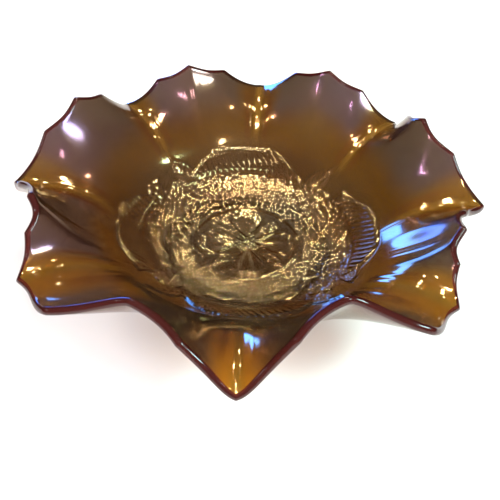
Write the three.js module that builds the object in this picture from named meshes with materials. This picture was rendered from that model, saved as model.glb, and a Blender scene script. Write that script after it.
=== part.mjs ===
// A shallow art glass bowl, pressed in one mould and then crimped by hand into eight ruffles while
// it was hot. Millimetres, +Z up. The origin is on the table, at the centre of the collar foot,
// and -Y is the front.
//
// The glass is described by its middle surface, halfway between the inside and the outside face.
// From the centre outwards that surface is a flat floor, an arc that curves up, and a wall that
// leans outwards. The wall is round where it leaves the arc and ruffled at the rim: eight flares
// lean out low, and eight crests between them stand up high.
import * as THREE from 'three';

// Driving dimensions
const floorThickness = 5;
const rimThickness = 3.8;
const floorFlatRadius = 33;
const floorArcRadius = 54; // measured to the inside face
const wallStartRadius = 71; // where the arc ends and the ruffled wall starts
const flareReach = 121; // mean distance of the low flares' rim from the axis
const flareHeight = 30; // mean height of the low flares' rim above the inside floor
const flareTilt = THREE.MathUtils.degToRad(-4); // slope of the glass at a flare's rim
const crestReach = 107;
const crestHeight = 54;
const crestTilt = THREE.MathUtils.degToRad(60);
const wallStartPull = 17; // how far the wall keeps the arc's slope, and below the rim's slope
const rimPull = 17;
const scallopHeight = 2.8;
const scallopsPerRuffle = 4;
const footRestInnerRadius = 39.5;
const footRestOuterRadius = 43.5;
const footTopInnerRadius = 38.5;
const footTopOuterRadius = 46;
const footHeight = 5; // from the table to the underside of the flat floor
const footClearance = 0.3; // between the foot and the glass above it

// Each crimp was made by eye, so each one is a little off. They run anticlockwise from +X. turn is
// in degrees, and out and up are how much further out and higher than the mean the rim is. round
// is 0 where a flare is pinched to a fold, and 1 or more where it is an even wave. before and after
// are how far the rim swells out halfway to the crest on the flare's clockwise and anticlockwise side.
const flares = [
  { turn: 1, out: -1, up: 3, round: 0.22, before: -5, after: 0 },
  { turn: 0, out: -2, up: -2, round: 0.22, before: 0, after: 0 },
  { turn: -1, out: 1, up: -4, round: 0.22, before: 0, after: 0 },
  { turn: -3, out: -6, up: -1, round: 0.22, before: 0, after: 0 },
  { turn: -2, out: 1, up: -2, round: 0.22, before: 0, after: 0 },
  { turn: -8, out: 1.5, up: 6, round: 1, before: -2, after: 12 },
  { turn: 0, out: 2, up: -2, round: 0.22, before: 0, after: 0 },
  { turn: 7.5, out: -2, up: 4, round: 1.4, before: 14, after: -3 },
];
const crests = [
  { turn: 3, out: -6, up: 2 },
  { turn: -1, out: 1, up: -3 },
  { turn: 0, out: 2, up: -6 },
  { turn: -3, out: 1, up: 0 },
  { turn: 0, out: 0, up: 2 },
  { turn: -2, out: 0, up: -4 },
  { turn: 1, out: -2, up: 4 },
  { turn: 2, out: 0, up: -5 },
];

// How finely the faces are cut
const stepsPerSide = 8; // from a flare to the crest beside it
const floorSteps = 2;
const arcSteps = 4;
const wallSteps = 7;
const edgeSteps = 4;
const footSegments = 72;
const footTopSteps = 4;

const ruffleCount = flares.length;
const ruffleAngle = (2 * Math.PI) / ruffleCount;
const insideFloorHeight = footHeight + floorThickness;
const middleArcRadius = floorArcRadius + floorThickness / 2;
const arcCentreHeight = insideFloorHeight + floorArcRadius;
const arcAngle = Math.asin((wallStartRadius - floorFlatRadius) / floorArcRadius);

// The heading, reach, height and slope of a flare's rim, with its own small errors added.
function flareAt(index) {
  const error = flares[(index + ruffleCount) % ruffleCount];
  return {
    ...error,
    heading: index * ruffleAngle + THREE.MathUtils.degToRad(error.turn),
    reach: flareReach + error.out,
    height: flareHeight + error.up,
    tilt: flareTilt,
  };
}

// The same for the crest that follows a flare.
function crestAt(index) {
  const error = crests[(index + ruffleCount) % ruffleCount];
  return {
    heading: (index + 0.5) * ruffleAngle + THREE.MathUtils.degToRad(error.turn),
    reach: crestReach + error.out,
    height: crestHeight + error.up,
    tilt: crestTilt,
  };
}

// The flare and the crest on each side of an angle, and how far round it is from one to the other.
function neighbours(angle) {
  const turned = THREE.MathUtils.euclideanModulo(angle, 2 * Math.PI);
  for (let index = 0; index <= ruffleCount; index += 1) {
    const flare = flareAt(index);
    const before = crestAt(index - 1);
    const after = crestAt(index);
    if (turned < before.heading || turned > after.heading) continue;
    const isBefore = turned < flare.heading;
    const crest = isBefore ? before : after;
    const share = (turned - flare.heading) / (crest.heading - flare.heading);
    return { flare, crest, share, swell: isBefore ? flare.before : flare.after };
  }
  throw new Error('no ruffle at this angle');
}

// 0 at a flare and 1 at a crest. A flare that isn't round is narrow, between broad crests.
function riseOf(share, round) {
  const wave = Math.sin((Math.PI / 2) * share);
  return (Math.hypot(wave, round) - round) / (Math.hypot(1, round) - round);
}

// 1 at each small point of the rim and 0 in the hollows between them.
function scallopOf(share) {
  return 1 - Math.abs(Math.sin((Math.PI * scallopsPerRuffle * share) / 2));
}

// The middle surface's rim at an angle: its distance from the axis, its height and its slope.
function rimAt(angle) {
  const { flare, crest, share, swell } = neighbours(angle);
  const rise = riseOf(share, flare.round);
  const mix = (key) => THREE.MathUtils.lerp(flare[key], crest[key], rise);
  const tilt = mix('tilt');
  // The rounded edge adds half the glass's thickness beyond the end of the two faces.
  const extra = scallopHeight * scallopOf(share) - rimThickness / 2;
  return {
    radius: mix('reach') + swell * Math.sin(Math.PI * share) ** 2 + extra * Math.cos(tilt),
    height: mix('height') + insideFloorHeight + extra * Math.sin(tilt),
    tilt,
  };
}

// A point of the middle surface, by its distance along the profile: 0 to 1 is the flat floor,
// 1 to 2 is the arc and 2 to 3 is the wall.
function middlePoint(angle, along) {
  let radius;
  let height;
  if (along <= 1) {
    radius = floorFlatRadius * along;
    height = insideFloorHeight - floorThickness / 2;
  } else if (along <= 2) {
    const turn = arcAngle * (along - 1);
    radius = floorFlatRadius + middleArcRadius * Math.sin(turn);
    height = arcCentreHeight - middleArcRadius * Math.cos(turn);
  } else {
    const rim = rimAt(angle);
    const start = new THREE.Vector2(
      floorFlatRadius + middleArcRadius * Math.sin(arcAngle),
      arcCentreHeight - middleArcRadius * Math.cos(arcAngle),
    );
    const end = new THREE.Vector2(rim.radius, rim.height);
    const leave = new THREE.Vector2(Math.cos(arcAngle), Math.sin(arcAngle));
    const arrive = new THREE.Vector2(Math.cos(rim.tilt), Math.sin(rim.tilt));
    const wall = new THREE.CubicBezierCurve(
      start,
      start.clone().addScaledVector(leave, wallStartPull),
      end.clone().addScaledVector(arrive, -rimPull),
      end,
    );
    const point = wall.getPoint(along - 2);
    radius = point.x;
    height = point.y;
  }
  return new THREE.Vector3(radius * Math.cos(angle), radius * Math.sin(angle), height);
}

function thicknessAt(along) {
  return THREE.MathUtils.lerp(floorThickness, rimThickness, Math.max(along - 2, 0));
}

// The direction straight out of the inside face.
function insideNormal(angle, along) {
  const step = 1e-3;
  const low = Math.min(along, 3 - step);
  const outwards = middlePoint(angle, low + step).sub(middlePoint(angle, low));
  const round = middlePoint(angle + step, along).sub(middlePoint(angle - step, along));
  return outwards.cross(round).normalize();
}

// The rows of the glass's skin: out over the inside face, round the edge, back under the outside.
function skinRows() {
  const faceStations = [];
  for (let i = 1; i <= floorSteps; i += 1) faceStations.push(i / floorSteps);
  for (let i = 1; i <= arcSteps; i += 1) faceStations.push(1 + i / arcSteps);
  for (let i = 1; i <= wallSteps; i += 1) faceStations.push(2 + i / wallSteps);
  const inside = faceStations.map((along) => ({ along, lean: 0 }));
  const edge = [];
  for (let i = 1; i < edgeSteps; i += 1) edge.push({ along: 3, lean: (Math.PI * i) / edgeSteps });
  const outside = faceStations.map((along) => ({ along, lean: Math.PI })).reverse();
  return [...inside, ...edge, ...outside];
}

// A point of the skin: lean is 0 on the inside face, a half turn on the outside face and between
// them round the edge.
function skinPoint(angle, along, lean) {
  const half = thicknessAt(along) / 2;
  const point = middlePoint(angle, along);
  point.addScaledVector(insideNormal(angle, along), half * Math.cos(lean));
  if (lean > 0 && lean < Math.PI) {
    const { tilt } = rimAt(angle);
    const end = new THREE.Vector3(
      Math.cos(tilt) * Math.cos(angle),
      Math.cos(tilt) * Math.sin(angle),
      Math.sin(tilt),
    );
    point.addScaledVector(end, half * Math.sin(lean));
  }
  return point;
}

// The headings of the skin's columns, equal in number between each flare and the crests beside it,
// so that they meet every tip of the rim.
function columnAngles() {
  const angles = [];
  for (let index = 0; index < ruffleCount; index += 1) {
    const tips = [flareAt(index).heading, crestAt(index).heading, flareAt(index + 1).heading];
    for (let side = 0; side < 2; side += 1) {
      for (let i = 0; i < stepsPerSide; i += 1) {
        angles.push(THREE.MathUtils.lerp(tips[side], tips[side + 1], i / stepsPerSide));
      }
    }
  }
  return angles;
}

function bowlGeometry() {
  const rows = skinRows();
  const angles = columnAngles();
  const columns = angles.length;
  const positions = [new THREE.Vector3(0, 0, insideFloorHeight)];
  for (const { along, lean } of rows) {
    for (const angle of angles) positions.push(skinPoint(angle, along, lean));
  }
  positions.push(new THREE.Vector3(0, 0, insideFloorHeight - floorThickness));
  const last = positions.length - 1;
  const indices = [];
  const vertex = (row, i) => 1 + row * columns + (i % columns);
  for (let i = 0; i < columns; i += 1) {
    indices.push(0, vertex(0, i), vertex(0, i + 1));
    indices.push(last, vertex(rows.length - 1, i + 1), vertex(rows.length - 1, i));
    for (let row = 0; row < rows.length - 1; row += 1) {
      indices.push(vertex(row, i), vertex(row + 1, i), vertex(row + 1, i + 1));
      indices.push(vertex(row, i), vertex(row + 1, i + 1), vertex(row, i + 1));
    }
  }
  const geometry = new THREE.BufferGeometry().setFromPoints(positions);
  geometry.setIndex(indices);
  geometry.computeVertexNormals();
  return geometry;
}

// The height of the bowl's underside at a distance from the axis, inside the arc.
function undersideHeight(radius) {
  const beyondFlat = Math.max(radius - floorFlatRadius, 0);
  const outerArcRadius = floorArcRadius + floorThickness;
  return arcCentreHeight - Math.sqrt(outerArcRadius ** 2 - beyondFlat ** 2);
}

// The collar foot: a low ring with sloped sides, whose top follows the bowl's underside.
function footGeometry() {
  const profile = [
    new THREE.Vector2(footRestInnerRadius, 0),
    new THREE.Vector2(footRestOuterRadius, 0),
  ];
  for (let i = 0; i <= footTopSteps; i += 1) {
    const radius = THREE.MathUtils.lerp(footTopOuterRadius, footTopInnerRadius, i / footTopSteps);
    profile.push(new THREE.Vector2(radius, undersideHeight(radius) - footClearance));
  }
  profile.push(profile[0].clone());
  const geometry = new THREE.LatheGeometry(profile, footSegments);
  geometry.rotateX(Math.PI / 2);
  return geometry;
}

function glassMaterial(color) {
  return new THREE.MeshStandardMaterial({
    color,
    roughness: 0.08,
    metalness: 0,
    transparent: true,
    opacity: 0.6,
  });
}

function namedMesh(name, geometry, material) {
  const mesh = new THREE.Mesh(geometry, material);
  mesh.name = name;
  return mesh;
}

const ruffledBowl = new THREE.Group();
ruffledBowl.add(namedMesh('bowl', bowlGeometry(), glassMaterial(0x8a5a22)));
ruffledBowl.add(namedMesh('collar_foot', footGeometry(), glassMaterial(0x7a4a1c)));

export default ruffledBowl;
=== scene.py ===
# The looks of a ruffled bowl of iridescent amber pressed glass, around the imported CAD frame.
# Metres, +Z up, the front towards -Y. The glass is one closed mesh that stands for both CAD nodes,
# because the real bowl is one pressing: an inside face with the pressed flower pattern, a
# rounded rim and an outside face that carries the collar foot.
import math

import bpy
import numpy as np
from mathutils import Matrix, Vector


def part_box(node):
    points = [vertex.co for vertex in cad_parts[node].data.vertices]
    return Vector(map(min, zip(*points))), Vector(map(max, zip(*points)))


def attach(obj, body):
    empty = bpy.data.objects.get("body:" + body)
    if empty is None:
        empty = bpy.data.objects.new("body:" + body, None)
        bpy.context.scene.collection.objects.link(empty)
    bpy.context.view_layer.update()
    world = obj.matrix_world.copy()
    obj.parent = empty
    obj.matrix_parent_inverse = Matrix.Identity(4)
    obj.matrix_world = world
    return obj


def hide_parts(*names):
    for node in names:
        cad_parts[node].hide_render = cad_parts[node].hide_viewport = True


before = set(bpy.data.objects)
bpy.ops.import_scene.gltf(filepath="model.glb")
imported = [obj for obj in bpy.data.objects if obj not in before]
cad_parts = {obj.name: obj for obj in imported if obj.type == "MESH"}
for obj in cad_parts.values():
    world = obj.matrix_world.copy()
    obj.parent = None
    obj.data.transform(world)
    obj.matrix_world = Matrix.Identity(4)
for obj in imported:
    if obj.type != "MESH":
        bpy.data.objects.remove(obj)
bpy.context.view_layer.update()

MM = 0.001
FULL_TURN = 2 * math.pi

# Sizes of the glass, as in the CAD model
FLOOR_THICKNESS = 5 * MM
RIM_THICKNESS = 3.8 * MM
FLOOR_FLAT_RADIUS = 33 * MM
FLOOR_ARC_RADIUS = 54 * MM
WALL_START_RADIUS = 71 * MM
FLARE_REACH = 121 * MM
FLARE_HEIGHT = 30 * MM
FLARE_TILT = math.radians(-4)
CREST_REACH = 107 * MM
CREST_HEIGHT = 54 * MM
CREST_TILT = math.radians(60)
WALL_PULL = 17 * MM
SCALLOP_HEIGHT = 2.8 * MM
SCALLOPS_PER_RUFFLE = 4
RUFFLES = 8

# The small errors of the hand crimping, anticlockwise from +X: turn in degrees, out and up in
# millimetres, and for a flare how round it is and how far the rim swells before and after it
FLARES = [
    (1, -1, 3, 0.22, -5, 0),
    (0, -2, -2, 0.22, 0, 0),
    (-1, 1, -4, 0.22, 0, 0),
    (-3, -6, -1, 0.22, 0, 0),
    (-2, 1, -2, 0.22, 0, 0),
    (-8, 1.5, 6, 1, -2, 12),
    (0, 2, -2, 0.22, 0, 0),
    (7.5, -2, 4, 1.4, 14, -3),
]
CRESTS = [
    (3, -6, 2), (-1, 1, -3), (0, 2, -6), (-3, 1, 0),
    (0, 0, 2), (-2, 0, -4), (1, -2, 4), (2, 0, -5),
]

# Sizes of the collar foot, and the heights of the floor, from the CAD boxes
foot_low, foot_high = (Vector(corner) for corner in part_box("collar_foot"))
bowl_low = Vector(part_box("bowl")[0])
FOOT_TOP_OUTER_RADIUS = (foot_high.x - foot_low.x) / 2
FOOT_TOP_INNER_RADIUS = FOOT_TOP_OUTER_RADIUS - 7.5 * MM
FOOT_REST_OUTER_RADIUS = FOOT_TOP_OUTER_RADIUS - 2.5 * MM
FOOT_REST_INNER_RADIUS = FOOT_TOP_INNER_RADIUS + 1 * MM
INSIDE_FLOOR_HEIGHT = bowl_low.z + FLOOR_THICKNESS
ARC_CENTRE_HEIGHT = INSIDE_FLOOR_HEIGHT + FLOOR_ARC_RADIUS
MIDDLE_ARC_RADIUS = FLOOR_ARC_RADIUS + FLOOR_THICKNESS / 2
ARC_ANGLE = math.asin((WALL_START_RADIUS - FLOOR_FLAT_RADIUS) / FLOOR_ARC_RADIUS)

# The unevenness of the hand-worked wall
DENT_DEPTH = 0.07 * MM
PLEAT_DEPTH = 0.10 * MM

# How finely the glass is cut
AROUND = 640
EDGE_STEPS = 8
WALL_STEPS = 30
OUTSIDE_WALL_STEPS = 16
OUTSIDE_FLOOR_STEPS = 8


# ---------------------------------------------------------------- the shape of the glass

def lerp(a, b, share):
    return a + (b - a) * share


def crimp_table():
    """Each crimp in turn: heading, reach, height, tilt, rise (0 flare, 1 crest), roundness and two swells."""
    rows = []
    for index in range(-1, RUFFLES + 1):
        turn, out, up, roundness, before, after = FLARES[index % RUFFLES]
        rows.append((index * FULL_TURN / RUFFLES + math.radians(turn), FLARE_REACH + out * MM,
                     FLARE_HEIGHT + up * MM, FLARE_TILT, 0.0, roundness, before * MM, after * MM))
        turn, out, up = CRESTS[index % RUFFLES]
        rows.append(((index + 0.5) * FULL_TURN / RUFFLES + math.radians(turn), CREST_REACH + out * MM,
                     CREST_HEIGHT + up * MM, CREST_TILT, 1.0, 0.0, 0.0, 0.0))
    return np.array(rows)


CRIMPS = crimp_table()


def rim_at(angle):
    """Reach, height, tilt and rise of the middle of the rim's edge, for an array of angles."""
    turned = np.mod(angle, FULL_TURN)
    after = np.searchsorted(CRIMPS[:, 0], turned, side="right")
    low, high = CRIMPS[after - 1], CRIMPS[after]
    along = (turned - low[:, 0]) / (high[:, 0] - low[:, 0])
    from_flare = low[:, 4] < 0.5
    share = np.where(from_flare, along, 1 - along)
    flare = np.where(from_flare[:, None], low, high)
    crest = np.where(from_flare[:, None], high, low)
    swell = np.where(from_flare, flare[:, 7], flare[:, 6]) * np.sin(math.pi * share) ** 2
    roundness = flare[:, 5]
    wave = np.sin(math.pi / 2 * share)
    rise = (np.hypot(wave, roundness) - roundness) / (np.hypot(1, roundness) - roundness)
    mixed = lerp(flare, crest, rise[:, None])
    scallop = 1 - np.abs(np.sin(math.pi * SCALLOPS_PER_RUFFLE / 2 * share))
    extra = SCALLOP_HEIGHT * scallop - RIM_THICKNESS / 2
    tilt = mixed[:, 3]
    reach = mixed[:, 1] + swell + extra * np.cos(tilt)
    height = mixed[:, 2] + INSIDE_FLOOR_HEIGHT + extra * np.sin(tilt)
    return reach, height, tilt, rise


def middle_profile(angle, along):
    """Radius and height of the middle surface: along is 0 to 1 on the flat, 2 past the arc, 3 at the rim."""
    if along <= 1:
        radius = np.full_like(angle, FLOOR_FLAT_RADIUS * along)
        return radius, np.full_like(angle, INSIDE_FLOOR_HEIGHT - FLOOR_THICKNESS / 2)
    if along <= 2:
        turn = ARC_ANGLE * (along - 1)
        radius = FLOOR_FLAT_RADIUS + MIDDLE_ARC_RADIUS * math.sin(turn)
        height = ARC_CENTRE_HEIGHT - MIDDLE_ARC_RADIUS * math.cos(turn)
        return np.full_like(angle, radius), np.full_like(angle, height)
    reach, rim_height, tilt, _ = rim_at(angle)
    start = (FLOOR_FLAT_RADIUS + MIDDLE_ARC_RADIUS * math.sin(ARC_ANGLE),
             ARC_CENTRE_HEIGHT - MIDDLE_ARC_RADIUS * math.cos(ARC_ANGLE))
    leave = (start[0] + WALL_PULL * math.cos(ARC_ANGLE), start[1] + WALL_PULL * math.sin(ARC_ANGLE))
    arrive = (reach - WALL_PULL * np.cos(tilt), rim_height - WALL_PULL * np.sin(tilt))
    t = along - 2
    a, b, c, d = (1 - t) ** 3, 3 * (1 - t) ** 2 * t, 3 * (1 - t) * t ** 2, t ** 3
    radius = a * start[0] + b * leave[0] + c * arrive[0] + d * reach
    height = a * start[1] + b * leave[1] + c * arrive[1] + d * rim_height
    return radius, height


def middle_point(angle, along):
    radius, height = middle_profile(angle, along)
    return np.stack([radius * np.cos(angle), radius * np.sin(angle), height], -1)


def inside_normal(angle, along):
    step = 1e-3
    low = min(along, 3 - step)
    outwards = middle_point(angle, low + step) - middle_point(angle, low)
    around = middle_point(angle + step, along) - middle_point(angle - step, along)
    normal = np.cross(outwards, around)
    return normal / np.linalg.norm(normal, axis=-1, keepdims=True)


def hand_worked(angle, along):
    """How far the wall's inside face strays from its smooth shape: broad dents, and pleats by the folds."""
    rise = rim_at(angle)[3]
    up_wall = along - 2
    dents = (np.sin(5 * angle + 4.0 * up_wall + 1.0) + np.sin(13 * angle - 5.5 * up_wall)
             + np.sin(21 * angle + 7.0 * up_wall + 2.0))
    by_folds = ridge(rise - 0.1, 0.16) + 0.6 * ridge(rise - 1, 0.05)
    pleats = np.sin(150 * angle + 5 * np.sin(3 * angle)) * by_folds
    return (DENT_DEPTH * dents + PLEAT_DEPTH * pleats) * math.sin(math.pi * up_wall) ** 0.7


def skin_row(angle, along, lean):
    """One row of the skin: lean is 0 on the inside face, pi on the outside, and between them at the rim."""
    half = lerp(FLOOR_THICKNESS, RIM_THICKNESS, max(along - 2, 0)) / 2
    normal = inside_normal(angle, along)
    points = middle_point(angle, along) + normal * half * math.cos(lean)
    if lean == 0:
        points += normal * hand_worked(angle, along)[:, None]
    if 0 < lean < math.pi:
        tilt = rim_at(angle)[2]
        end = np.stack([np.cos(tilt) * np.cos(angle), np.cos(tilt) * np.sin(angle), np.sin(tilt)], -1)
        points += end * half * math.sin(lean)
    return points


# ---------------------------------------------------------------- the camera

CAMERA_ELEVATION = math.radians(42.3)
CAMERA_DISTANCE = 397 * MM
CAMERA_ROLL = math.radians(3.5)
CAMERA_SENSOR = 36
CAMERA_LENS = 52.5


def add_camera():
    target = Vector((2.0 * MM, -6.0 * MM, INSIDE_FLOOR_HEIGHT))
    forward = Vector((0, math.cos(CAMERA_ELEVATION), -math.sin(CAMERA_ELEVATION)))
    level_right = Vector((1, 0, 0))
    level_up = level_right.cross(forward)
    right = level_right * math.cos(CAMERA_ROLL) + level_up * math.sin(CAMERA_ROLL)
    up = right.cross(forward)
    data = bpy.data.cameras.new("camera")
    data.sensor_width = CAMERA_SENSOR
    data.lens = CAMERA_LENS
    data.clip_start = 0.01
    camera = bpy.data.objects.new("camera", data)
    turn = Matrix((right, up, -forward)).transposed().to_4x4()
    camera.matrix_world = Matrix.Translation(target - forward * CAMERA_DISTANCE) @ turn
    bpy.context.collection.objects.link(camera)
    bpy.context.scene.camera = camera


# ---------------------------------------------------------------- the pressed pattern

def ridge(distance, half_width):
    """A rounded ridge, 1 along its line and 0 at half_width from it."""
    return np.clip(1 - (distance / half_width) ** 2, 0, 1) ** 2


def dome(distance, radius):
    """A round bead, steep at its edge."""
    return np.sqrt(np.clip(1 - (distance / radius) ** 2, 0, 1))


def smooth(low, high, value):
    t = np.clip((value - low) / (high - low), 0, 1)
    return t * t * (3 - 2 * t)


def turned(x, y, heading):
    """Coordinates along and across a heading."""
    c, s = math.cos(heading), math.sin(heading)
    return x * c + y * s, y * c - x * s


def petal(x, y, heading, near, far, width, lip, veins):
    """A broad cupped petal: a raised lip round it, a curl inside its tip, and fine radial veins."""
    u, v = turned(x, y, heading)
    middle, half = (near + far) / 2, (far - near) / 2
    spread = width * (0.45 + 0.55 * np.clip((u - near) / (far - near), 0, 1))
    notch = 1.4 * MM * ridge(v, width * 0.35)
    edge = np.sqrt(((u + notch - middle) / half) ** 2 + (v / spread) ** 2)
    inside = smooth(1.06, 0.92, edge)
    rim = ridge(edge - 0.93, 0.13)
    curl = ridge(edge - 0.66, 0.10) * smooth(middle, far, u)
    angle = np.arctan2(v, u)
    vein = 0.5 + 0.5 * np.cos(angle * veins)
    body = inside * (0.28 + 0.12 * vein * smooth(1.0, 0.55, edge))
    return lip * np.maximum(np.maximum(rim, 0.6 * curl), body)


def leaf(x, y, centre_radius, heading, lean, length, width, height, ribs):
    """A pointed leaf with a midrib and slanting side ribs, laid with its middle at a radius and heading."""
    cx, cy = centre_radius * math.cos(heading), centre_radius * math.sin(heading)
    u, v = turned(x - cx, y - cy, heading + lean)
    t = np.clip(u / length + 0.5, 0, 1)
    outline = width * np.sin(math.pi * t ** 0.8)
    outline = np.where((u > -length / 2) & (u < length / 2), outline, 1e-6)
    inside = smooth(1.08, 0.85, np.abs(v) / np.maximum(outline, 1e-6))
    rim = ridge(np.abs(v) / np.maximum(outline, 1e-6) - 0.9, 0.2) * (outline > 1e-5)
    slant = 0.5 + 0.5 * np.cos((u - 1.1 * np.abs(v)) * FULL_TURN * ribs / length)
    midrib = ridge(v, 0.9 * MM)
    return height * np.maximum(inside * np.maximum(0.35 + 0.35 * slant, midrib), 0.8 * rim)


def small_flower(x, y, centre_radius, heading, radius, petals, height):
    """A small open flower with a cluster of beads at its middle."""
    cx, cy = centre_radius * math.cos(heading), centre_radius * math.sin(heading)
    dx, dy = x - cx, y - cy
    distance, angle = np.hypot(dx, dy), np.arctan2(dy, dx) - heading
    outline = radius * (0.80 + 0.20 * np.abs(np.cos(angle * petals / 2)))
    edge = distance / outline
    inside = smooth(1.05, 0.9, edge)
    rim = ridge(edge - 0.9, 0.14)
    vein = 0.5 + 0.5 * np.cos(angle * petals * 5)
    crease = ridge(np.sin(angle * petals / 2 + math.pi / 2), 0.22) * smooth(0.3, 0.6, edge)
    shape = np.maximum(inside * (0.35 + 0.25 * vein), 0.85 * rim) * (1 - 0.8 * crease * (edge < 1.02))
    beads = np.zeros_like(x)
    for count, ring in ((1, 0.0), (7, 0.19)):
        for i in range(count):
            a = heading + FULL_TURN * i / count
            beads = np.maximum(beads, dome(np.hypot(dx - ring * radius * math.cos(a),
                                                    dy - ring * radius * math.sin(a)), 0.085 * radius))
    return height * np.maximum(shape, 1.1 * beads)


# The beads at the heart of the big flower: how many, how far out, and their radius in millimetres
BEAD_RINGS = [(1, 0.0, 1.0), (6, 2.2, 0.95), (12, 4.3, 0.95), (16, 6.3, 0.8)]
BEAD_HEIGHT = 1.5 * MM


def stamens(x, y):
    """The cluster of beads at the heart of the big flower."""
    height = np.zeros_like(x)
    for count, ring, size in BEAD_RINGS:
        for i in range(count):
            a = FULL_TURN * (i + 0.25 * ring) / count
            wobble = 1 + 0.08 * math.sin(5 * i + ring)
            bead = dome(np.hypot(x - ring * wobble * MM * math.cos(a),
                                 y - ring * wobble * MM * math.sin(a)), size * MM)
            height = np.maximum(height, bead)
    return BEAD_HEIGHT * height


def stipple(x, y, pitch, height):
    """Small round grains on a jittered grid."""
    grain = np.random.default_rng(7)
    cells = int(2 * WALL_START_RADIUS / pitch) + 4
    jitter = grain.uniform(-0.32, 0.32, (cells, cells, 2))
    size = grain.uniform(0.40, 0.62, (cells, cells))
    gx, gy = x / pitch + cells / 2, y / pitch + cells / 2
    ix, iy = np.floor(gx).astype(int), np.floor(gy).astype(int)
    best = np.zeros_like(x)
    for sx in (-1, 0, 1):
        for sy in (-1, 0, 1):
            jx = np.clip(ix + sx, 0, cells - 1)
            jy = np.clip(iy + sy, 0, cells - 1)
            px = jx + 0.5 + jitter[jx, jy, 0]
            py = jy + 0.5 + jitter[jx, jy, 1]
            best = np.maximum(best, ridge(np.hypot(gx - px, gy - py), size[jx, jy]))
    return height * best


FLOWER_HEADINGS = [math.radians(a) for a in (-86, 3, 94, 184)]
CLUSTER_HEADINGS = [math.radians(a) for a in (42, 138, 223, 318)]
RING_RADIUS = 29.5 * MM
GROUND_RADIUS = 57.6 * MM
PATTERN_RADIUS = 70 * MM
GRAIN_PITCH = 1.55 * MM
GRAIN_HEIGHT = 0.34 * MM


def feather_bands(radius, angle):
    """Four arcs of curved slanting ribs outside the stippled ground, one on each side."""
    height = np.zeros_like(radius)
    for i, heading in enumerate(FLOWER_HEADINGS):
        off = np.mod(angle - heading + math.pi, FULL_TURN) - math.pi
        reach = (radius - GROUND_RADIUS) / (PATTERN_RADIUS - GROUND_RADIUS)
        half_span = math.radians(30) * np.sqrt(np.clip(1.06 - reach, 0, 1)) + math.radians(4)
        inside = smooth(1.0, 0.9, np.abs(off) / half_span)
        inside = inside * smooth(-0.02, 0.08, reach) * smooth(1.02, 0.92, reach)
        curve = 1.5 * np.clip(reach, 0, 1) ** 1.3
        slant = off * radius / (3.5 * MM) + curve * (1 if i % 2 else -1)
        rib = np.abs(np.mod(slant, 1) - 0.5) * 2
        border = ridge(np.abs(off) / half_span - 0.95, 0.05) * (reach > 0) * (reach < 1)
        height = np.maximum(height, inside * (0.15 + 0.85 * np.sqrt(np.clip(1 - rib ** 2, 0, 1))))
        height = np.maximum(height, border)
    return 1.5 * MM * height


# The leaves round each cluster's flower: radius of the middle in millimetres, turn from the flower
# in degrees, lean in radians, then length, width and height in millimetres, and the number of ribs
CLUSTER_LEAVES = [
    (63, -9, 0.5, 19, 5.0, 1.3, 6),
    (61, 13, -1.0, 17, 4.4, 1.2, 6),
    (45, 19, 1.9, 15, 3.6, 1.1, 5),
    (46, -20, -1.8, 14, 3.4, 1.1, 5),
]


def clusters(x, y):
    """A flower with leaves on each diagonal, some of it over the stippled ground."""
    height = np.zeros_like(x)
    for i, heading in enumerate(CLUSTER_HEADINGS):
        side = 1 if i % 2 else -1
        height = np.maximum(height, small_flower(x, y, 50 * MM, heading, 9.5 * MM, 6, 1.3 * MM))
        for radius, turn, lean, length, width, high, ribs in CLUSTER_LEAVES:
            height = np.maximum(height, leaf(
                x, y, radius * MM, heading + side * math.radians(turn), lean * side,
                length * MM, width * MM, high * MM, ribs))
    return height


def big_flower(x, y):
    """Four petals with a leaf between each two, round the cluster of beads."""
    height = np.zeros_like(x)
    for heading in FLOWER_HEADINGS:
        height = np.maximum(height, petal(
            x, y, heading, 6.5 * MM, 26.5 * MM, 11.5 * MM, 0.9 * MM, 46))
        height = np.maximum(height, leaf(
            x, y, 19 * MM, heading + math.pi / 4, 0.0, 14 * MM, 3.0 * MM, 0.8 * MM, 5))
    return np.maximum(height, stamens(x, y))


def rings(radius, angle):
    """Three raised rings: one round the big flower, one within the stippled ground and one at its edge."""
    height = 1.2 * MM * ridge(radius - RING_RADIUS - 0.5 * MM * np.cos(4 * angle), 1.3 * MM)
    height = np.maximum(height, 0.5 * MM * ridge(radius - GROUND_RADIUS, 1.1 * MM))
    return np.maximum(height, 0.45 * MM * ridge(radius - 45.5 * MM, 1.3 * MM))


def relief(x, y):
    """How high the pattern stands out of the inside face at a point of the floor."""
    radius, angle = np.hypot(x, y), np.arctan2(y, x)
    ground = smooth(31 * MM, 32 * MM, radius) * smooth(57 * MM, 56 * MM, radius)
    height = ground * stipple(x, y, GRAIN_PITCH, GRAIN_HEIGHT)
    for raised in (big_flower(x, y), rings(radius, angle), feather_bands(radius, angle), clusters(x, y)):
        height = np.maximum(height, raised)
    return height


# ---------------------------------------------------------------- the glass mesh

def floor_radii():
    """Rows of the patterned floor, closest together where the detail is finest."""
    spans = ((0.6, 12.0, 0.55), (12.0, 31.0, 0.75), (31.0, 58.0, 0.55), (58.0, 71.0, 0.72))
    rows = []
    for start, end, step in spans:
        rows.extend(np.arange(start, end - step / 4, step))
    rows.append(WALL_START_RADIUS / MM)
    return [row * MM for row in rows]


def inside_floor_row(angle, radius):
    """A row of the inside face out to the start of the wall, with the pattern raised on it."""
    beyond = max(radius - FLOOR_FLAT_RADIUS, 0)
    slope = math.asin(beyond / FLOOR_ARC_RADIUS)
    height = ARC_CENTRE_HEIGHT - FLOOR_ARC_RADIUS * math.cos(slope)
    raised = relief(radius * np.cos(angle), radius * np.sin(angle))
    out = radius - raised * math.sin(slope)
    return np.stack([out * np.cos(angle), out * np.sin(angle), height + raised * math.cos(slope)], -1)


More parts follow.
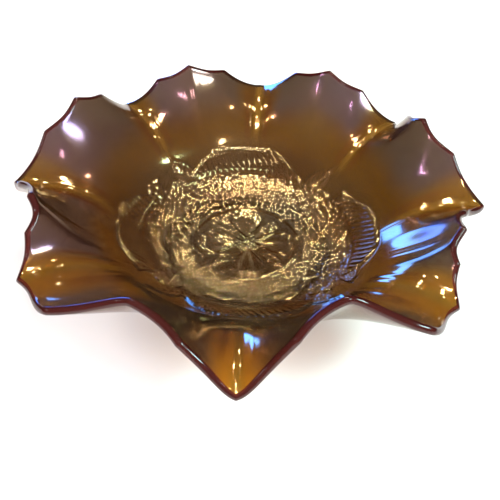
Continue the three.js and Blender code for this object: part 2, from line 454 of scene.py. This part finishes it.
def underside_height(radius):
    beyond = max(radius - FLOOR_FLAT_RADIUS, 0)
    return ARC_CENTRE_HEIGHT - math.sqrt((FLOOR_ARC_RADIUS + FLOOR_THICKNESS) ** 2 - beyond ** 2)


def foot_profile():
    """The collar foot's outline from outside to inside, with small rounded corners."""
    corner = 0.5 * MM
    outer_top = underside_height(FOOT_TOP_OUTER_RADIUS)
    inner_top = underside_height(FOOT_TOP_INNER_RADIUS)
    return [
        (FOOT_TOP_OUTER_RADIUS + corner, underside_height(FOOT_TOP_OUTER_RADIUS + corner)),
        (FOOT_TOP_OUTER_RADIUS - corner * 0.3, outer_top - corner),
        (lerp(FOOT_TOP_OUTER_RADIUS, FOOT_REST_OUTER_RADIUS, 0.5), outer_top / 2),
        (FOOT_REST_OUTER_RADIUS + corner * 0.4, corner),
        (FOOT_REST_OUTER_RADIUS - corner * 0.2, corner * 0.2),
        (FOOT_REST_OUTER_RADIUS - corner, 0.0),
        (FOOT_REST_INNER_RADIUS + corner, 0.0),
        (FOOT_REST_INNER_RADIUS + corner * 0.2, corner * 0.2),
        (FOOT_REST_INNER_RADIUS - corner * 0.1, corner),
        (FOOT_TOP_INNER_RADIUS + corner * 0.2, inner_top - corner),
        (FOOT_TOP_INNER_RADIUS - corner, inner_top),
    ]


def column_angles():
    """Headings of the columns, equal in number between each flare and the crests beside it."""
    tips = CRIMPS[2:2 * RUFFLES + 3, 0]
    return np.interp(np.arange(AROUND) * 2 * RUFFLES / AROUND, np.arange(len(tips)), tips)


def underside_profile():
    """Radius and height of the rows below the wall, from outside to inside, round the collar foot."""
    arc_end = FOOT_TOP_OUTER_RADIUS + 2 * MM
    outer_arc_radius = FLOOR_ARC_RADIUS + FLOOR_THICKNESS
    arc_start = FLOOR_FLAT_RADIUS + outer_arc_radius * math.sin(ARC_ANGLE)
    before = [lerp(arc_start, arc_end, i / OUTSIDE_FLOOR_STEPS) for i in range(1, OUTSIDE_FLOOR_STEPS + 1)]
    within = [lerp(FOOT_TOP_INNER_RADIUS, FLOOR_FLAT_RADIUS * 0.6, share) for share in (0.3, 0.6, 0.9)]
    within.append(6 * MM)
    return ([(radius, underside_height(radius)) for radius in before] + foot_profile()
            + [(radius, underside_height(radius)) for radius in within])


def round_row(angle, radius, height):
    return np.stack([radius * np.cos(angle), radius * np.sin(angle), np.full_like(angle, height)], -1)


def glass_rows():
    """Every row of the skin from the middle of the inside face round to the middle of the underside."""
    fine = column_angles()
    coarse = fine[::2]
    rows = [inside_floor_row(fine, radius) for radius in floor_radii()]
    for i in range(1, WALL_STEPS + 1):
        rows.append(skin_row(fine, 2 + i / WALL_STEPS, 0.0))
    for i in range(1, EDGE_STEPS + 1):
        rows.append(skin_row(fine, 3, math.pi * i / EDGE_STEPS))
    for i in range(1, OUTSIDE_WALL_STEPS + 1):
        rows.append(skin_row(coarse, 3 - i / OUTSIDE_WALL_STEPS, math.pi))
    for radius, height in underside_profile():
        rows.append(round_row(coarse, radius, height))
    return rows


def stitch(rows, top, bottom):
    """Vertices and faces of the closed skin. Where the rows halve, each coarse side meets two fine ones."""
    vertices = [np.array([top])]
    starts = []
    count = 1
    for row in rows:
        starts.append(count)
        vertices.append(row)
        count += len(row)
    vertices.append(np.array([bottom]))
    faces = [(0, starts[0] + i, starts[0] + (i + 1) % AROUND) for i in range(AROUND)]
    for first, second, a, b in zip(rows, rows[1:], starts, starts[1:]):
        n, m = len(first), len(second)
        if n == m:
            faces.extend((a + i, b + i, b + (i + 1) % n, a + (i + 1) % n) for i in range(n))
            continue
        for j in range(m):
            left, middle, right = a + 2 * j, a + 2 * j + 1, a + (2 * j + 2) % n
            below, after = b + j, b + (j + 1) % m
            faces.append((left, below, middle))
            faces.append((middle, below, after))
            faces.append((middle, after, right))
    last, m = starts[-1], len(rows[-1])
    faces.extend((count, last + (j + 1) % m, last + j) for j in range(m))
    return np.concatenate(vertices), faces


def add_glass():
    rows = glass_rows()
    top = (0, 0, INSIDE_FLOOR_HEIGHT + relief(np.zeros(1), np.zeros(1))[0])
    vertices, faces = stitch(rows, top, (0, 0, INSIDE_FLOOR_HEIGHT - FLOOR_THICKNESS))
    mesh = bpy.data.meshes.new("carnival_bowl")
    mesh.from_pydata(vertices.tolist(), [], faces)
    mesh.shade_smooth()
    mesh.validate()
    bowl = bpy.data.objects.new("carnival_bowl", mesh)
    bpy.context.collection.objects.link(bowl)
    return bowl


# ---------------------------------------------------------------- the glass material

def add_node(tree, kind, **values):
    node = tree.nodes.new(kind)
    for name, value in values.items():
        setattr(node, name, value)
    return node


def plain_material(name, **values):
    """A Principled material with these socket values, an underscore in a name standing for a space."""
    material = bpy.data.materials.new(name)
    material.use_nodes = True
    shader = material.node_tree.nodes["Principled BSDF"]
    for socket, value in values.items():
        shader.inputs[socket.replace("_", " ")].default_value = value
    return material


def colour_ramp(tree, factor, stops):
    ramp = add_node(tree, "ShaderNodeValToRGB")
    elements = ramp.color_ramp.elements
    while len(elements) < len(stops):
        elements.new(0.5)
    for element, (position, colour) in zip(elements, stops):
        element.position = position
        element.color = (*colour, 1)
    tree.links.new(factor, ramp.inputs["Fac"])
    return ramp.outputs["Color"]


GLASS_IOR = 1.52

# Tints of the lustre, with painted light and shade among them: on the floor, then on the wall
FLOOR_HIGH_TINT = np.array((0.32, 0.17, 0.07))
# Painted shade: darker in the hollows of the floor's pattern
FLOOR_HOLLOW_SHADE_TINT = np.array((0.22, 0.11, 0.04))
# Painted light: lighter and more orange towards the front
FRONT_PAINTED_LIGHT_TINT = np.array((0.95, 0.47, 0.07))
# Painted shade on the foot
FOOT_PAINTED_SHADE_TINT = np.array((0.15, 0.07, 0.015))
# Painted glints: the beads pale
BEAD_PAINTED_GLINT_TINT = np.array((0.95, 0.80, 0.55))
# The glass's amber at the foot of the wall, with a painted dark reflection in it
AMBER_AND_DARK_REFLECTION = np.array((0.28, 0.13, 0.010))
GOLD = np.array((0.25, 0.11, 0.004))
# Painted light: a lighter gold towards the front
FRONT_PAINTED_LIGHT_GOLD = np.array((1.0, 0.47, 0.03))
# Painted highlight: a bright gold line along each fold
FOLD_PAINTED_HIGHLIGHT_GOLD = np.array((0.60, 0.36, 0.04))
# Dark maroon beside the folds
FOLD_SIDE_MAROON = np.array((0.26, 0.05, 0.012))
# The lustre's mauve on the crests, with a painted reflection of a pale ceiling in it
MAUVE_AND_CEILING_REFLECTION = np.array((0.175, 0.15, 0.145))
# Painted sheen: a paler mauve on the left
LEFT_PAINTED_SHEEN_MAUVE = np.array((0.25, 0.20, 0.22))

# Waves of the uneven spray: their direction, and their start in radians
SMEAR_LENGTH = 9 * MM
SMEARS = [((1.0, 0.4, 0.7), 0.5), ((-0.5, 1.1, 0.3), 2.1), ((0.8, -0.9, 1.2), 4.0)]


def column(values):
    return values[:, None]


def painted_front_light_share(angle):
    """Share of the painted light: 1 at the front, falling off to 0 at the back."""
    return column(0.5 - 0.5 * np.sin(angle)) ** 3


def left_sheen_share(angle):
    """Share of the painted sheen: 1 on the left a little towards the front, and 0 on the right."""
    return np.clip(-np.cos(angle - math.radians(25)), 0, 1) ** 2


def wall_tint(angle, rise, up_wall, smear, mauve_share):
    """Amber with a painted dark reflection at the foot of the wall, gold in the folds, both lighter towards
    the front as painted light, mauve with a painted reflection on the crests and paler on the left as painted
    sheen, dark maroon beside the folds, and a painted highlight along each fold.
    """
    front = painted_front_light_share(angle)
    # painted light: a lighter gold towards the front
    gold = lerp(GOLD, FRONT_PAINTED_LIGHT_GOLD, front)
    # painted sheen: a paler mauve on the left
    mauve = lerp(MAUVE_AND_CEILING_REFLECTION, LEFT_PAINTED_SHEEN_MAUVE, column(left_sheen_share(angle)))
    wall = lerp(gold, mauve, column(mauve_share))
    # the glass's amber at the foot of the wall with a painted dark reflection, lighter towards the front as
    # painted light
    amber = lerp(AMBER_AND_DARK_REFLECTION, FRONT_PAINTED_LIGHT_GOLD, 0.9 * front)
    wall = lerp(amber, wall, column(smooth(0.0, 0.30, up_wall + 0.10 * smear)))
    folded = column(smooth(0.0, 0.2, up_wall))
    fold_side_maroon_share = 0.7 * column(ridge(rise - 0.16, 0.09)) * folded * column(smooth(0.9, 0.5, up_wall))
    wall = lerp(wall, FOLD_SIDE_MAROON, fold_side_maroon_share)
    # painted highlight along each fold
    return lerp(wall, FOLD_PAINTED_HIGHLIGHT_GOLD, column(ridge(rise, 0.035)) * folded)


def floor_tint(points, angle, radius):
    """Painted shade in the pattern's hollows and lighter on the raised pattern, painted light towards the
    front, painted shade on the foot, painted glints on the beads.
    """
    raised = np.clip(relief(points[:, 0], points[:, 1]) / (1.2 * MM), 0, 1)
    # painted shade in the pattern's hollows
    floor = lerp(FLOOR_HOLLOW_SHADE_TINT, FLOOR_HIGH_TINT, column(np.sqrt(raised)))
    # painted light towards the front
    floor = lerp(floor, FRONT_PAINTED_LIGHT_TINT, 0.9 * painted_front_light_share(angle) * column(smooth(50 * MM, 62 * MM, radius)))
    # painted shade on the foot
    floor = lerp(floor, FOOT_PAINTED_SHADE_TINT, column(smooth(bowl_low.z, bowl_low.z - 1.5 * MM, points[:, 2])))
    # painted glints on the beads
    beads = stamens(points[:, 0], points[:, 1]) / BEAD_HEIGHT
    return lerp(floor, BEAD_PAINTED_GLINT_TINT, column(smooth(0.55, 0.95, beads)))


def paint_lustre_and_light(bowl):
    """The sprayed lustre, as a colour attribute: its tint with painted light and shade in it, and in alpha
    its thickness from 0 to 1.
    """
    mesh = bowl.data
    points = np.empty(len(mesh.vertices) * 3)
    mesh.vertices.foreach_get("co", points)
    points = points.reshape(-1, 3)
    angle = np.arctan2(points[:, 1], points[:, 0])
    radius = np.hypot(points[:, 0], points[:, 1])
    reach, _, _, rise = rim_at(angle)
    up_wall = np.clip((radius - WALL_START_RADIUS) / (reach - WALL_START_RADIUS), 0, 1.1)
    smear = sum(np.sin(np.dot(points, axis) / SMEAR_LENGTH + start) / 3 for axis, start in SMEARS)
    # On the left the mauve, with its painted sheen, starts lower on the wall and spreads further from the
    # crests
    left = left_sheen_share(angle)
    high = smooth(0.22 - 0.20 * left, 0.66 - 0.25 * left, up_wall + 0.08 * smear)
    crest = smooth(0.10 - 0.08 * left, 0.50 - 0.15 * left, rise + 0.08 * smear)
    wall = wall_tint(angle, rise, up_wall, smear, high * crest)
    on_wall = smooth(-0.02, 0.10, (radius - PATTERN_RADIUS) / (50 * MM))
    tint = lerp(floor_tint(points, angle, radius), wall, column(on_wall))
    film = np.clip(0.25 + 0.15 * smear + 0.5 * high * crest, 0, 1)
    layer = mesh.color_attributes.new("lustre_and_painted_light", "FLOAT_COLOR", "POINT")
    layer.data.foreach_set("color", np.concatenate([tint, column(film)], 1).ravel())


def mark_rim(bowl):
    """Gives the faces of the rounded edge the second material, the one with the painted shade."""
    first = 1 + AROUND * (len(floor_radii()) + WALL_STEPS - 1)
    last = first + AROUND * (EDGE_STEPS + 1)
    for face in bowl.data.polygons:
        face.material_index = int(all(first <= vertex < last for vertex in face.vertices))


def scaled(tree, source, factor, offset):
    """The source times a factor, plus an offset."""
    node = add_node(tree, "ShaderNodeMath", operation="MULTIPLY_ADD")
    tree.links.new(source, node.inputs[0])
    node.inputs[1].default_value = factor
    node.inputs[2].default_value = offset
    return node.outputs["Value"]


def glass_material():
    """Amber glass that darkens with its thickness, under a tinted lustre with a thin film on it; the tint
    carries painted light and shade.
    """
    material = bpy.data.materials.new("carnival_glass")
    material.use_nodes = True
    tree = material.node_tree
    link = tree.links.new
    shader = tree.nodes["Principled BSDF"]
    output = tree.nodes["Material Output"]
    lustre_and_painted_light = add_node(tree, "ShaderNodeVertexColor", layer_name="lustre_and_painted_light")
    link(lustre_and_painted_light.outputs["Color"], shader.inputs["Base Color"])

    film = scaled(tree, lustre_and_painted_light.outputs["Alpha"], 50, 96)
    link(film, shader.inputs["Thin Film Thickness"])
    shader.inputs["Thin Film IOR"].default_value = 1.95
    dullness = scaled(tree, lustre_and_painted_light.outputs["Alpha"], 0.10, 0.07)
    link(dullness, shader.inputs["Roughness"])
    shader.inputs["IOR"].default_value = GLASS_IOR
    shader.inputs["Transmission Weight"].default_value = 1.0
    absorb = add_node(tree, "ShaderNodeVolumeAbsorption")
    absorb.inputs["Color"].default_value = (0.56, 0.38, 0.10, 1)
    absorb.inputs["Density"].default_value = 400
    link(absorb.outputs["Volume"], output.inputs["Volume"])
    return material


def rim_shade_material():
    """The thick edge of the rim, with painted shade: a dark maroon colour where the glass looks darkest."""
    return plain_material("rim_painted_shade_glass", Base_Color=(0.06, 0.005, 0.004, 1), Roughness=0.10, IOR=GLASS_IOR,
                          Specular_IOR_Level=0.25, Transmission_Weight=0.6)


# ---------------------------------------------------------------- the studio

STUDIO_RADIUS = 3.9
STUDIO_HEIGHT = 4.0
STUDIO_SIDES = 64
FLOOR_HALF_WIDTH = 4
FLOOR_DROP = 0.05 * MM  # keeps the floor's face clear of the foot's


def add_stage(name, vertices, faces, material):
    mesh = bpy.data.meshes.new(name)
    mesh.from_pydata(vertices, [], faces)
    mesh.materials.append(material)
    stage = bpy.data.objects.new(name, mesh)
    bpy.context.collection.objects.link(stage)
    return stage


def add_floor():
    size, down = FLOOR_HALF_WIDTH, -FLOOR_DROP
    corners = [(-size, -size, down), (size, -size, down), (size, size, down), (-size, size, down)]
    pale = plain_material("pale_floor", Base_Color=(0.82, 0.81, 0.80, 1), Roughness=0.9)
    add_stage("floor", corners, [(0, 1, 2, 3)], pale)


def add_backdrop():
    """A pale wall far behind everything, seen only by the camera itself."""
    n = STUDIO_SIDES
    turns = [FULL_TURN * i / n for i in range(n)]
    ring = [(STUDIO_RADIUS * math.cos(a), STUDIO_RADIUS * math.sin(a), z)
            for z in (-0.01, STUDIO_HEIGHT) for a in turns]
    faces = [(i, (i + 1) % n, n + (i + 1) % n, n + i) for i in range(n)]
    pale = plain_material("pale_wall", Base_Color=(0, 0, 0, 1), Specular_IOR_Level=0,
                          Emission_Color=(0.90, 0.90, 0.90, 1), Emission_Strength=1)
    backdrop = add_stage("backdrop", ring, faces, pale)
    for use in ("diffuse", "glossy", "transmission", "volume_scatter", "shadow"):
        setattr(backdrop, "visible_" + use, False)


def add_softbox(name, azimuth, elevation, size, power, colour=(1, 1, 1), distance=1.2):
    """An area light that faces the bowl, placed by its heading from +X and its height in degrees."""
    data = bpy.data.lights.new(name, "AREA")
    data.shape = "ELLIPSE"
    data.size, data.size_y = size
    data.energy = power
    data.color = colour
    lamp = bpy.data.objects.new(name, data)
    lamp.visible_camera = False
    a, e = math.radians(azimuth), math.radians(elevation)
    aim = Vector((0, 0, 30 * MM))
    direction = Vector((math.cos(a) * math.cos(e), math.sin(a) * math.cos(e), math.sin(e)))
    lamp.location = aim + direction * distance
    lamp.rotation_euler = direction.to_track_quat("Z", "Y").to_euler()
    bpy.context.collection.objects.link(lamp)
    return lamp


PALE_BLUE = (0.92, 0.97, 1.0)

# Lamps that mirror in the glass: name, heading and height in degrees, size in metres, watts, colour
LAMPS = [
    ("canopy", 92, 68, (0.30, 0.18), 0.3, (1.0, 0.94, 0.82)),
    ("glitter", 93, 74, (0.16, 0.08), 3.0, (0.86, 0.95, 1.0)),
    ("window", -17, 43, (0.60, 0.22), 10.0, (0.60, 1.0, 1.0)),
    ("strip", -160, 42, (0.06, 0.22), 1.0, PALE_BLUE),
    ("strip", -52, 65, (0.05, 0.12), 0.6, PALE_BLUE),
    ("cool", 114, 9, (0.50, 0.28), 6.5, (0.06, 0.24, 1.0)),
]

# Small bulbs that mirror as glints: heading and height in degrees
BULBS = [(70, 46), (112, 44), (92, 36), (40, 58), (135, 60), (84, 62), (100, 72), (88, 80)]

# Lamps that light the table and don't mirror in the glass: heading and height in degrees, watts
FILLS = [(-145, 40, 24), (-35, 40, 24), (-90, 12, 40)]


def add_lights():
    for name, azimuth, elevation, size, power, colour in LAMPS:
        lamp = add_softbox(name, azimuth, elevation, size, power, colour)
        if name == "glitter":
            lamp.visible_diffuse = False
            lamp.visible_transmission = False
    for azimuth, elevation in BULBS:
        add_softbox("bulb", azimuth, elevation, (0.04, 0.04), 0.8, (1.0, 0.88, 0.66))
    for azimuth, elevation, power in FILLS:
        fill = add_softbox("fill", azimuth, elevation, (1.6, 0.8), power, (1, 1, 1), 1.8)
        fill.visible_glossy = False
        fill.visible_transmission = False


def add_world():
    """A dim room, lighter overhead and in front."""
    world = bpy.data.worlds.new("studio")
    world.use_nodes = True
    tree = world.node_tree
    place = add_node(tree, "ShaderNodeTexCoord")
    toward = add_node(tree, "ShaderNodeVectorMath", operation="DOT_PRODUCT")
    tree.links.new(place.outputs["Generated"], toward.inputs[0])
    toward.inputs[1].default_value = (0.1, -0.55, 0.83)
    sky = colour_ramp(tree, toward.outputs["Value"], [
        (0.0, (0.18, 0.13, 0.10)), (0.35, (0.27, 0.21, 0.17)),
        (0.85, (0.46, 0.37, 0.31)), (1.0, (0.62, 0.54, 0.52))])
    tree.links.new(sky, tree.nodes["Background"].inputs["Color"])
    bpy.context.scene.world = world


def set_quality():
    scene = bpy.context.scene
    scene.view_settings.view_transform = "Standard"
    scene.cycles.use_denoising = True
    scene.cycles.max_bounces = 16
    scene.cycles.transmission_bounces = 16
    scene.cycles.glossy_bounces = 6
    scene.cycles.blur_glossy = 0.5
    scene.cycles.sample_clamp_indirect = 8


# ---------------------------------------------------------------- the scene

add_camera()
glass = add_glass()
paint_lustre_and_light(glass)
glass.data.materials.append(glass_material())
glass.data.materials.append(rim_shade_material())
mark_rim(glass)
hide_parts("bowl", "collar_foot")
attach(glass, "root")
add_floor()
add_backdrop()
add_lights()
add_world()
set_quality()
